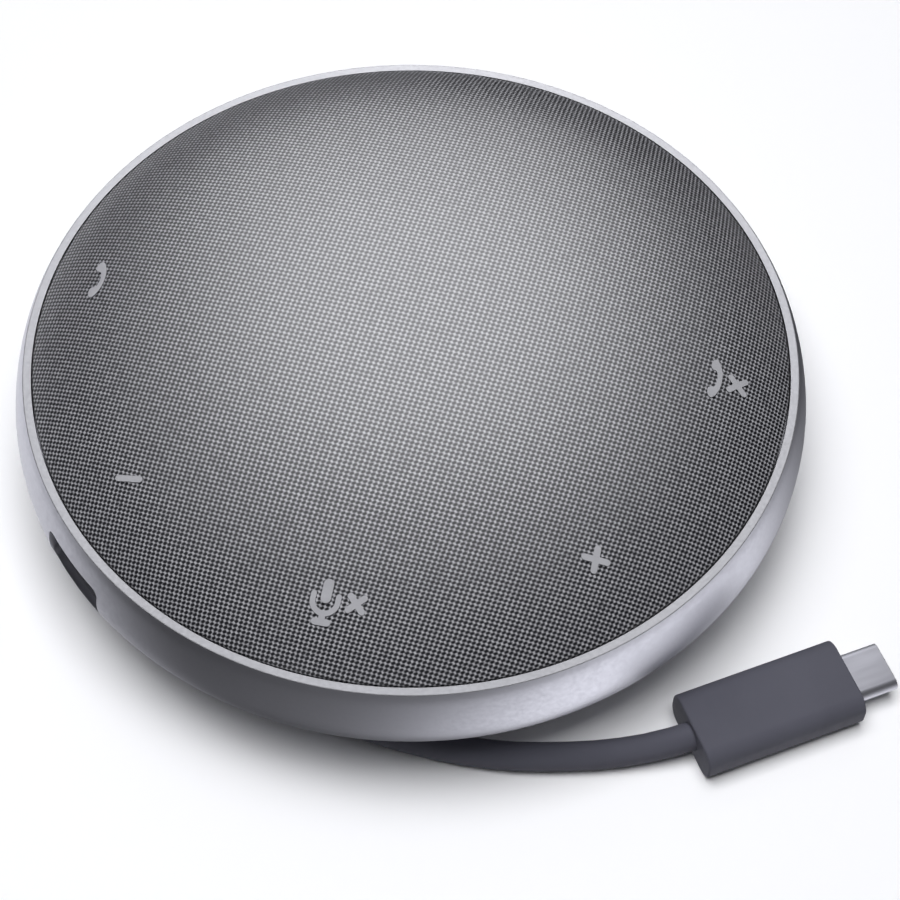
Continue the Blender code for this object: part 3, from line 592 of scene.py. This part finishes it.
def camera():
    data = bpy.data.cameras.new("photo_view")
    data.sensor_width = 36.0
    data.lens = CAMERA_LENS
    data.clip_start = 0.01
    data.clip_end = 50.0
    item = new_object("photo_view", data)
    place = Vector(CAMERA_PLACE) * MM
    forward = (Vector(CAMERA_TARGET) * MM - place).normalized()
    side = forward.cross(Vector((0.0, 0.0, 1.0))).normalized()
    up = side.cross(forward)
    roll = math.radians(CAMERA_ROLL)
    right = side * math.cos(roll) + up * math.sin(roll)
    top = up * math.cos(roll) - side * math.sin(roll)
    turn = Matrix((right, top, -forward)).transposed().to_4x4()
    item.matrix_world = Matrix.Translation(place) @ turn
    bpy.context.scene.camera = item


def area_light(name, place, size, watts):
    data = bpy.data.lights.new(name, "AREA")
    data.shape = "RECTANGLE"
    data.size, data.size_y = size
    data.energy = watts
    data.color = LIGHT_TINT
    item = new_object(name, data)
    item.location = place
    item.rotation_euler = (-Vector(place)).to_track_quat("-Z", "Y").to_euler()
    return item


def soft_room():
    """A dim room, a little lighter overhead, with pale cards low down around it."""
    world = bpy.data.worlds.new("soft_room")
    bpy.context.scene.world = world
    world.use_nodes = True
    tree = world.node_tree
    direction = tree.nodes.new("ShaderNodeTexCoord").outputs["Generated"]
    split = tree.nodes.new("ShaderNodeSeparateXYZ")
    tree.links.new(direction, split.inputs["Vector"])

    def soft_step(value, start, end, low, high):
        node = tree.nodes.new("ShaderNodeMapRange")
        node.interpolation_type = "SMOOTHSTEP"
        for socket, number in zip(("From Min", "From Max", "To Min", "To Max"), (start, end, low, high)):
            node.inputs[socket].default_value = number
        tree.links.new(value, node.inputs["Value"])
        return node.outputs["Result"]

    total = soft_step(split.outputs["Z"], 0.25, 0.80, 0.04, 0.08)
    for card, inner, outer, strength in ROOM_CARDS:
        facing = tree.nodes.new("ShaderNodeVectorMath")
        facing.operation = "DOT_PRODUCT"
        facing.inputs[1].default_value = Vector(card).normalized()
        tree.links.new(direction, facing.inputs[0])
        faint = math.cos(math.radians(outer))
        full = math.cos(math.radians(inner))
        glow = soft_step(facing.outputs["Value"], faint, full, 0.0, strength)
        sum_of = tree.nodes.new("ShaderNodeMath")
        tree.links.new(total, sum_of.inputs[0])
        tree.links.new(glow, sum_of.inputs[1])
        total = sum_of.outputs[0]
    background = tree.nodes["Background"]
    background.inputs["Color"].default_value = ROOM_TINT
    tree.links.new(total, background.inputs["Strength"])


def white_floor():
    """Matt white floor that casts light back but isn't mirrored in the object."""
    mesh = bpy.data.meshes.new("studio_floor")
    signs = ((-1, -1), (1, -1), (1, 1), (-1, 1))
    corners = [(x * FLOOR_HALF, y * FLOOR_HALF, FLOOR_LEVEL) for x, y in signs]
    mesh.from_pydata(corners, [], [(0, 1, 2, 3)])
    floor = new_object("studio_floor", mesh)
    look = Look("studio_floor_paint", roughness=0.55)
    varied(look, (0.93, 0.93, 0.93), 0.005, 3.0)
    mesh.materials.append(look.material)
    floor.visible_glossy = False


def studio():
    scene = bpy.context.scene
    scene.view_settings.view_transform = "Standard"
    scene.view_settings.look = "None"
    soft_room()
    for name, place, size, watts, on_matt, in_reflections in LIGHTS:
        light = area_light(name, place, size, watts)
        light.visible_diffuse = on_matt
        light.visible_glossy = in_reflections
    white_floor()


# ---------------------------------------------------------------- cord and plug

def route_points():
    """The cord's way in points: round the groove, out over the desk and into the plug."""
    points = [Vector((*polar(bearing, radius), height)) for bearing, radius, height in CORD_ROUTE]
    turn = math.radians(PLUG_HEADING)
    heading = Vector((math.cos(turn), math.sin(turn), 0.0))
    start = Vector((*PLUG_START, PLUG_AXIS_Z))
    return points + [start - heading * 0.5, start + heading * CORD_IN_PLUG]


def at_plug(item):
    item.location = (PLUG_START[0] * MM, PLUG_START[1] * MM, PLUG_AXIS_Z * MM)
    item.rotation_euler.z = math.radians(PLUG_HEADING)
    return item


def plug_grip(look):
    """Moulded grip, bored for the cord and open at the front for the metal shell."""
    item = rounded_bar("plug_grip", PLUG_SIZE, PLUG_CORNER, 10, 0.4, 4)
    mouth_size = (SHELL_SEAT + 2.0, SHELL_SIZE[0] + SHELL_GAP, SHELL_SIZE[1] + SHELL_GAP)
    mouth = rounded_bar("mouth", mouth_size, round_corner(mouth_size[2]), 8)
    mouth.location.x = (PLUG_SIZE[0] - SHELL_SEAT - SHELL_GAP) * MM
    entry_size = (CORD_IN_PLUG + 1.4, CORD_BORE, CORD_BORE)
    entry = rounded_bar("entry", entry_size, round_corner(CORD_BORE), 12)
    entry.location.x = -1.0 * MM
    boolean(item, [mouth, entry])
    return at_plug(finished(item, look, "slate_overmould", "plug_overmould"))


def plug_shell(look):
    """Metal shell, hollow from its front end."""
    reach = SHELL_SEAT + SHELL_REACH
    item = rounded_bar("plug_tongue_shell", (reach, *SHELL_SIZE), round_corner(SHELL_SIZE[1]), 10, 0.18, 3)
    hollow_size = (reach, SHELL_SIZE[0] - 2 * SHELL_WALL, SHELL_SIZE[1] - 2 * SHELL_WALL)
    hollow = rounded_bar("hollow", hollow_size, round_corner(hollow_size[2]), 8)
    hollow.location.x = 1.0 * MM
    boolean(item, [hollow])
    item.data.transform(Matrix.Translation(((PLUG_SIZE[0] - SHELL_SEAT) * MM, 0.0, 0.0)))
    return at_plug(finished(item, look, "nickel_shell", "plug_shell"))


def plug_core(look):
    """Plastic body at the root of the shell."""
    item = rounded_bar("plug_core", CORE_SIZE, 0.3, 3, 0.15, 2)
    root = PLUG_SIZE[0] - SHELL_SEAT + 1.3
    item.data.transform(Matrix.Translation((root * MM, 0.0, 0.0)))
    return at_plug(finished(item, look, "black_plastic", "plug_insert"))


def plug_contacts(side, height, look):
    """One row of contacts on the inside of the shell."""
    reach = PLUG_SIZE[0] + SHELL_REACH - PLUG_CONTACT_SETBACK
    place = Matrix.Translation(Vector((reach, 0.0, height)) * MM)
    step = (0.0, PLUG_CONTACT_PITCH, 0.0)
    item = contact_row(f"plug_contacts_{side}", PLUG_CONTACT_COUNT, step, PLUG_CONTACT, place)
    return at_plug(finished(item, look, "nickel_shell"))


def plug(skin, metal, plastic, contact):
    pieces = [
        plug_grip(skin),
        plug_shell(metal),
        plug_core(plastic),
        plug_contacts("upper", PLUG_CONTACT_HEIGHT, contact),
        plug_contacts("lower", -PLUG_CONTACT_HEIGHT, contact),
    ]
    bpy.context.view_layer.update()
    return pieces


def cord(skin):
    points = [point * MM for point in smooth_route(route_points(), 4.0)]
    data = bpy.data.curves.new("captive_cord", "CURVE")
    data.dimensions = "3D"
    data.bevel_depth = CORD_RADIUS * MM
    data.bevel_resolution = 6
    data.use_fill_caps = True
    spline = data.splines.new("POLY")
    spline.points.add(len(points) - 1)
    for target, point in zip(spline.points, points):
        target.co = (*point, 1.0)
    item = new_object("captive_cord", data)
    finished(item, skin, "slate_overmould", "cord")


def gland_line():
    """Inner and outer end of the line that the cord follows through the wall of the well."""
    return [Vector((*polar(bearing, radius), GLAND_LEVEL)) for bearing, radius in GLAND_ENDS]


def gland(skin):
    """Ribbed, tapered sleeve where the cord goes through the wall of the well."""
    low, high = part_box("cord_gland")
    half = 4.0
    bore = 2.5
    tip_radius = 3.0
    taper = 0.42
    rib_height = 0.18
    steps = 24
    outer = []
    for index in range(steps + 1):
        share = index / steps
        rib = rib_height if index % 4 in (1, 2) else 0.0
        outer.append((tip_radius + taper * share + rib * (1 - share), half - 2 * half * share))
    item = revolved("cord_sleeve", outer + [(bore, -half), (bore, half)], 48)
    start, end = gland_line()
    direction = (end - start).normalized()
    turn = direction.to_track_quat("Z", "Y").to_matrix().to_4x4()
    item.data.transform(Matrix.Translation((low + high) / 2) @ turn)
    finished(item, skin, "black_rubber", "cord_gland")


# ---------------------------------------------------------------- woven cover

def flat_radius(radius):
    """Radius on the flat cloth of the point at a radius on the dome."""
    share = np.asarray(radius, float) / RIM_RADIUS
    growth = sum(part * share ** (2 * power) for power, part in enumerate(WEAVE_STRETCH, 1))
    return radius * (1 + growth)


CLOTH_EDGE_FLAT = float(flat_radius(CLOTH_EDGE_RADIUS))
CLOTH_CELLS = math.ceil((CLOTH_EDGE_FLAT + CLOTH_TUCK) / WEAVE_PITCH)


def cloth_points(count):
    """Flat weave coordinates in cells, two points to a cell, with each one's place on the dome in mm."""
    steps = np.arange(-2 * count, 2 * count + 1) / 2
    u, v = np.meshgrid(steps, steps, indexing="ij")
    flat = np.hypot(u, v) * WEAVE_PITCH
    table = np.linspace(0.0, CLOTH_EDGE_RADIUS, 2000)
    radius = np.interp(flat, flat_radius(table), table)
    over = np.maximum(flat - CLOTH_EDGE_FLAT, 0.0)
    turn = np.arctan2(v, u) + math.radians(WEAVE_TURN)
    relief = (np.cos(2 * np.pi * u) + np.cos(2 * np.pi * v) - 2) / 4 * WEAVE_DEPTH
    height = dome_height(radius) - over
    slope = np.gradient(dome_height(table), table)
    tilt = np.arctan(np.interp(radius, table, slope))
    relief = np.where(over > 0, 0.0, relief)
    out = radius - relief * np.sin(tilt)
    place = np.stack([out * np.cos(turn), out * np.sin(turn), height + relief * np.cos(tilt)], -1)
    return u, v, flat, place


def woven_cover(look):
    """The stretched cloth: its crossings stand up and its holes sink in."""
    u, v, flat, place = cloth_points(CLOTH_CELLS)
    size = u.shape[0]
    number = np.arange(size * size).reshape(size, size)
    corners = np.stack([number[:-1, :-1], number[1:, :-1], number[1:, 1:], number[:-1, 1:]], -1)
    corners = corners.reshape(-1, 4)
    inside = (flat.ravel()[corners] <= CLOTH_EDGE_FLAT + CLOTH_TUCK).all(axis=1)
    corners = corners[inside]
    used, renumbered = np.unique(corners, return_inverse=True)
    mesh = bpy.data.meshes.new("woven_cover")
    points = (place.reshape(-1, 3)[used] * MM).tolist()
    mesh.from_pydata(points, [], renumbered.reshape(-1, 4).tolist())
    weave = mesh.uv_layers.new(name="weave")
    spread = np.stack([u.ravel(), v.ravel()], -1)[corners.ravel()] / (2 * CLOTH_CELLS) + 0.5
    weave.data.foreach_set("uv", spread.astype(np.float32).ravel())
    mesh.shade_smooth()
    item = finished(new_object("woven_cover", mesh), look, "grey_fabric", "fabric_cover")


# ---------------------------------------------------------------- shells

def bowl(look):
    """Satin bowl, with the slot of the side socket cut through its wall."""
    wall = [
        (61.7, 24.3), (62.12, 23.3), (62.65, 21.5), (63.08, 19.6), (63.38, 17.6), (63.4, 15.8),
        (62.8, 13.4), (61.2, 10.6), (58.8, 8.0), (55.8, 6.15),
    ]
    curve = smooth_route([Vector((r, z, 0.0)) for r, z in wall], 0.6)
    outer = [(61.33, 24.95)]
    outer += [(min(point.x, BOWL_RADIUS - 0.005), point.y) for point in curve]
    outer += [(54.6, 5.82), (54.0, 5.8), (53.8, 5.9)]
    inner = [
        (53.8, 7.4), (57.6, 9.6), (60.2, 12.8), (61.2, 16.6), (61.3, 20.6), (57.5, 20.6), (57.5, 21.7),
        (61.33, 21.7),
    ]
    item = revolved("bowl_shell", outer + inner, 192)
    slot = rounded_bar("slot", SLOT_SIZE, SLOT_CORNER, 6)
    slot.data.transform(Matrix.Translation((-SLOT_SIZE[0] / 2 * MM, 0.0, 0.0)))
    slot.location = (*(polar(SOCKET_BEARING, SLOT_RADIUS) * MM), SOCKET_CENTRE_Z * MM)
    slot.rotation_euler.z = math.radians(SOCKET_BEARING - 90)
    boolean(item, [slot])
    finished(item, look, "satin_silver", "outer_housing")


def ring(look):
    """Narrow trim ring, its top a flat with a small fall at each edge."""
    profile = [
        (59.97, 22.0), (59.97, 24.94), (60.01, 24.98), (61.2, 24.98), (61.32, 24.955), (61.32, 22.0),
    ]
    band = revolved("trim_band", profile, 256)
    soften(band.data, 10)
    finished(band, look, "bright_trim", "trim_ring")


def base(look):
    """Base with the open well, the cord groove round it and the tabs that keep the cord in."""
    well = 43.4
    bend = 0.6
    profile = [
        (0.0, 4.4), (well, 4.4), (well, 12.2), (53.5, 12.2), (53.5, 5.5), (55.7, 5.5), (55.8, 5.4),
        (55.8, 5.0), (55.7, 4.9), (GROOVE_OUTER + 0.2, 4.9), (GROOVE_OUTER, 5.1),
        (GROOVE_OUTER, GROOVE_ROOF - bend), (GROOVE_OUTER - bend, GROOVE_ROOF),
        (GROOVE_INNER + bend, GROOVE_ROOF), (GROOVE_INNER, GROOVE_ROOF - bend), (GROOVE_INNER, 2.6),
        (GROOVE_INNER - 0.4, 2.2), (0.0, 2.2),
    ]
    item = revolved("base_moulding", profile, 160, closed=False)
    tabs = []
    for bearing in TAB_BEARINGS:
        tab = rounded_bar("tab", (2.6, 5.0, 0.6), 0.0, 1, 0.12, 2)
        tab.data.transform(Matrix.Translation((-1.3 * MM, 0.0, 0.0)))
        tab.location = (*(polar(bearing, TAB_RADIUS) * MM), TAB_LEVEL * MM)
        tab.rotation_euler.z = math.radians(bearing - 90)
        tabs.append(tab)
    boolean(item, tabs, "UNION")
    start, end = gland_line()
    hole = rounded_bar("hole", (17.0, GLAND_HOLE, GLAND_HOLE), round_corner(GLAND_HOLE), 8)
    hole.data.transform(Matrix.Translation((-8.5 * MM, 0.0, 0.0)))
    hole.location = (start + end) / 2 * MM
    hole.rotation_euler.z = math.atan2(end.y - start.y, end.x - start.x)
    boolean(item, [hole])
    finished(item, look, "black_plastic", "base_cover")


def foot(look):
    """Rubber pad with shallow rings pressed into its underside."""
    top = [(0.0, FOOT_TOP), (FOOT_RADIUS - 0.3, FOOT_TOP), (FOOT_RADIUS, FOOT_TOP - 0.3)]
    under = [(FOOT_RADIUS, 0.45), (FOOT_RADIUS - 0.15, 0.12), (FOOT_RADIUS - 0.5, 0.0)]
    for radius in FOOT_RINGS:
        under += [(radius + 0.6, 0.0), (radius + 0.3, 0.35), (radius - 0.3, 0.35), (radius - 0.6, 0.0)]
    item = revolved("foot_rubber", top + under + [(0.0, 0.0)], 160, closed=False)
    finished(item, look, "black_rubber", "foot_pad")


def socket_contacts(look):
    """Four spring contacts on the tongue of the side socket."""
    centre = polar(SOCKET_BEARING, TONGUE_RADIUS)
    turn = Matrix.Rotation(math.radians(SOCKET_BEARING), 4, "Z")
    place = Matrix.Translation(Vector((*centre, SOCKET_CENTRE_Z + 0.02)) * MM) @ turn
    step = (SOCKET_CONTACT_PITCH, 0.0, 0.0)
    item = contact_row("socket_contacts", SOCKET_CONTACT_COUNT, step, SOCKET_CONTACT, place)
    finished(item, look, "nickel_shell")


# ---------------------------------------------------------------- loudspeaker edge

def surround(look):
    """Half-roll rubber edge of the loudspeaker, made as one still piece; on the real speaker its inner land
    moves with the cone.
    """
    centre = (22.65, 28.5)
    profile = [(20.4, 27.9), (21.3, 27.9)] + arc(centre, 1.35, 190, 10, 20)
    profile += [(24.6, 28.7), (27.0, 28.7), (27.0, 28.3), (24.4, 28.3)]
    profile += arc(centre, 0.95, 0, 180, 20) + [(21.4, 27.5), (20.4, 27.5)]
    item = revolved("half_roll_surround", profile, 120)
    item.data.materials.append(look)
    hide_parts("driver_surround")
    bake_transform(item)


# ---------------------------------------------------------------- symbols

def rotated(points, degrees):
    turn = math.radians(degrees)
    return [
        (x * math.cos(turn) - y * math.sin(turn), x * math.sin(turn) + y * math.cos(turn)) for x, y in points
    ]


def bar_outline(length, stroke):
    half = length / 2 - stroke / 2
    return arc((half, 0.0), stroke / 2, -90, 90, 8) + arc((-half, 0.0), stroke / 2, 90, 270, 8)


def cross_outline(length, stroke, turn=0.0):
    half = length / 2 - stroke / 2
    near = stroke / 2
    far = near + CROSS_FILLET
    arm = arc((half, 0.0), near, -90, 90, 8) + [(far, near), (near, far)]
    points = []
    for quarter in range(4):
        points += rotated(arm, 90 * quarter)
    return rotated(points, turn)


def stand_outline():
    """Microphone stand: a cradle open at the top, its stem and its foot."""
    outer, inner, stem = 2.26, 1.48, 0.48
    foot_half, foot_end, foot_level = 1.42, 0.47, -3.12
    arm_top = 0.85
    middle = (outer + inner) / 2
    end = (outer - inner) / 2
    angle = math.degrees(math.asin(stem / outer))
    points = [(-outer, arm_top)] + arc((0.0, 0.0), outer, 180, 270 - angle, 14)
    points += [(-stem, foot_level + foot_end)]
    points += arc((-foot_half + foot_end, foot_level), foot_end, 90, 270, 8)
    points += arc((foot_half - foot_end, foot_level), foot_end, -90, 90, 8)
    points += [(stem, foot_level + foot_end)]
    points += arc((0.0, 0.0), outer, 270 + angle, 360, 14)
    points += arc((middle, arm_top), end, 0, 180, 6)
    points += arc((0.0, 0.0), inner, 360, 180, 20)
    points += arc((-middle, arm_top), end, 0, 180, 6)[:-1]
    return points


def handset_outline():
    """Telephone handset, its hollow side to the left."""
    half = [
        (0.92, 0.0), (0.86, 1.0), (0.66, 1.95), (0.28, 2.9), (-0.12, 3.45), (-0.45, 3.58), (-0.78, 3.38),
        (-1.0, 2.85), (-1.05, 2.25), (-0.92, 1.85), (-0.62, 1.62), (-0.25, 1.58), (0.02, 1.25), (0.16, 0.6),
    ]
    lower = [(x, -y) for x, y in reversed(half[1:])]
    middle = [(0.2, 0.0)]
    loop = [Vector((x, y, 0.0)) for x, y in half + middle + lower + half[:1]]
    return [(point.x, point.y) for point in smooth_route(loop, 0.18)[:-1]]


def printed(name, outline, place, look, node):
    """Ink film that follows the dome, with a softened edge."""
    curve = bpy.data.curves.new(name, "CURVE")
    curve.dimensions = "2D"
    curve.fill_mode = "BOTH"
    curve.extrude = FILM_HALF_THICKNESS * MM
    curve.bevel_depth = FILM_EDGE * MM
    curve.bevel_resolution = 1
    spline = curve.splines.new("POLY")
    spline.points.add(len(outline) - 1)
    for target, point in zip(spline.points, outline):
        target.co = (point[0] * MM, point[1] * MM, 0.0, 1.0)
    spline.use_cyclic_u = True
    drawn = new_object(name + "_outline", curve)
    bpy.context.view_layer.update()
    graph = bpy.context.evaluated_depsgraph_get()
    mesh = bpy.data.meshes.new_from_object(drawn.evaluated_get(graph))
    bpy.data.objects.remove(drawn, do_unlink=True)
    form = bmesh.new()
    form.from_mesh(mesh)
    bmesh.ops.remove_doubles(form, verts=form.verts, dist=0.000002)
    bmesh.ops.triangulate(form, faces=form.faces)
    form.to_mesh(mesh)
    form.free()
    for vertex in mesh.vertices:
        x = vertex.co.x / MM + place[0]
        y = vertex.co.y / MM + place[1]
        z = float(dome_height(math.hypot(x, y))) + FILM_LIFT + vertex.co.z / MM
        vertex.co = Vector((x, y, z)) * MM
    mesh.name = name
    finished(new_object(name, mesh), look, "light_grey_print", node)


def symbols(look):
    """The five pictograms: a name, an outline, a place and the CAD node of each closed shape."""
    capsule = rotated(bar_outline(3.6, 1.5), 90)
    mute_cross = cross_outline(3.8, CROSS_STROKE, 45)
    plus = cross_outline(4.35, STROKE)
    end_cross = cross_outline(4.2, CROSS_STROKE, 45)
    printed("call_handset_print", handset_outline(), (-51.0, 0.5), look, "symbol_call_handset")
    printed("minus_print", bar_outline(4.25, STROKE), (-36.0, -35.1), look, "symbol_volume_down")
    printed("microphone_capsule_print", capsule, (-2.3, -48.25), look, "symbol_mute_capsule")
    printed("microphone_stand_print", stand_outline(), (-2.3, -49.7), look, "symbol_mute_stand")
    printed("mute_cross_print", mute_cross, (2.25, -49.4), look, "symbol_mute_cross")
    printed("plus_print", plus, (35.1, -34.8), look, "symbol_volume_up")
    printed("end_handset_print", handset_outline(), (48.0, 1.0), look, "symbol_end_handset")
    printed("end_cross_print", end_cross, (51.4, 1.05), look, "symbol_end_cross")


# ---------------------------------------------------------------- the CAD nodes that stay

def dress_nodes(looks):
    """Give every CAD node that stays the material of its record slot."""
    slots = {row["node"]: row["material_slot"] for row in frame["record"]["subparts"]}
    for name, item in frame["nodes"].items():
        item.data.materials.clear()
        item.data.materials.append(looks[slots[name]])


# ---------------------------------------------------------------- assembly

LOOKS = {
    "satin_silver": satin_silver(),
    "bright_trim": bright_trim(),
    "grey_fabric": woven_grey(),
    "black_plastic": black_plastic(),
    "black_rubber": black_rubber(),
    "slate_overmould": slate_rubber(),
    "steel": steel(),
    "nickel_shell": nickel(),
    "green_board": circuit_board(),
    "paper_cone": paper_cone(),
    "copper_winding": copper(),
    "white_plastic": white_plastic(),
    "light_grey_print": light_print(),
}
GOLD = gold()

camera()
studio()
dress_nodes(LOOKS)
PLUG_PIECES = plug(LOOKS["slate_overmould"], LOOKS["nickel_shell"], LOOKS["black_plastic"], GOLD)
cord(LOOKS["slate_overmould"])
gland(LOOKS["black_rubber"])
woven_cover(LOOKS["grey_fabric"])
bowl(LOOKS["satin_silver"])
ring(LOOKS["bright_trim"])
base(LOOKS["black_plastic"])
foot(LOOKS["black_rubber"])
socket_contacts(GOLD)
surround(LOOKS["black_rubber"])
symbols(LOOKS["light_grey_print"])
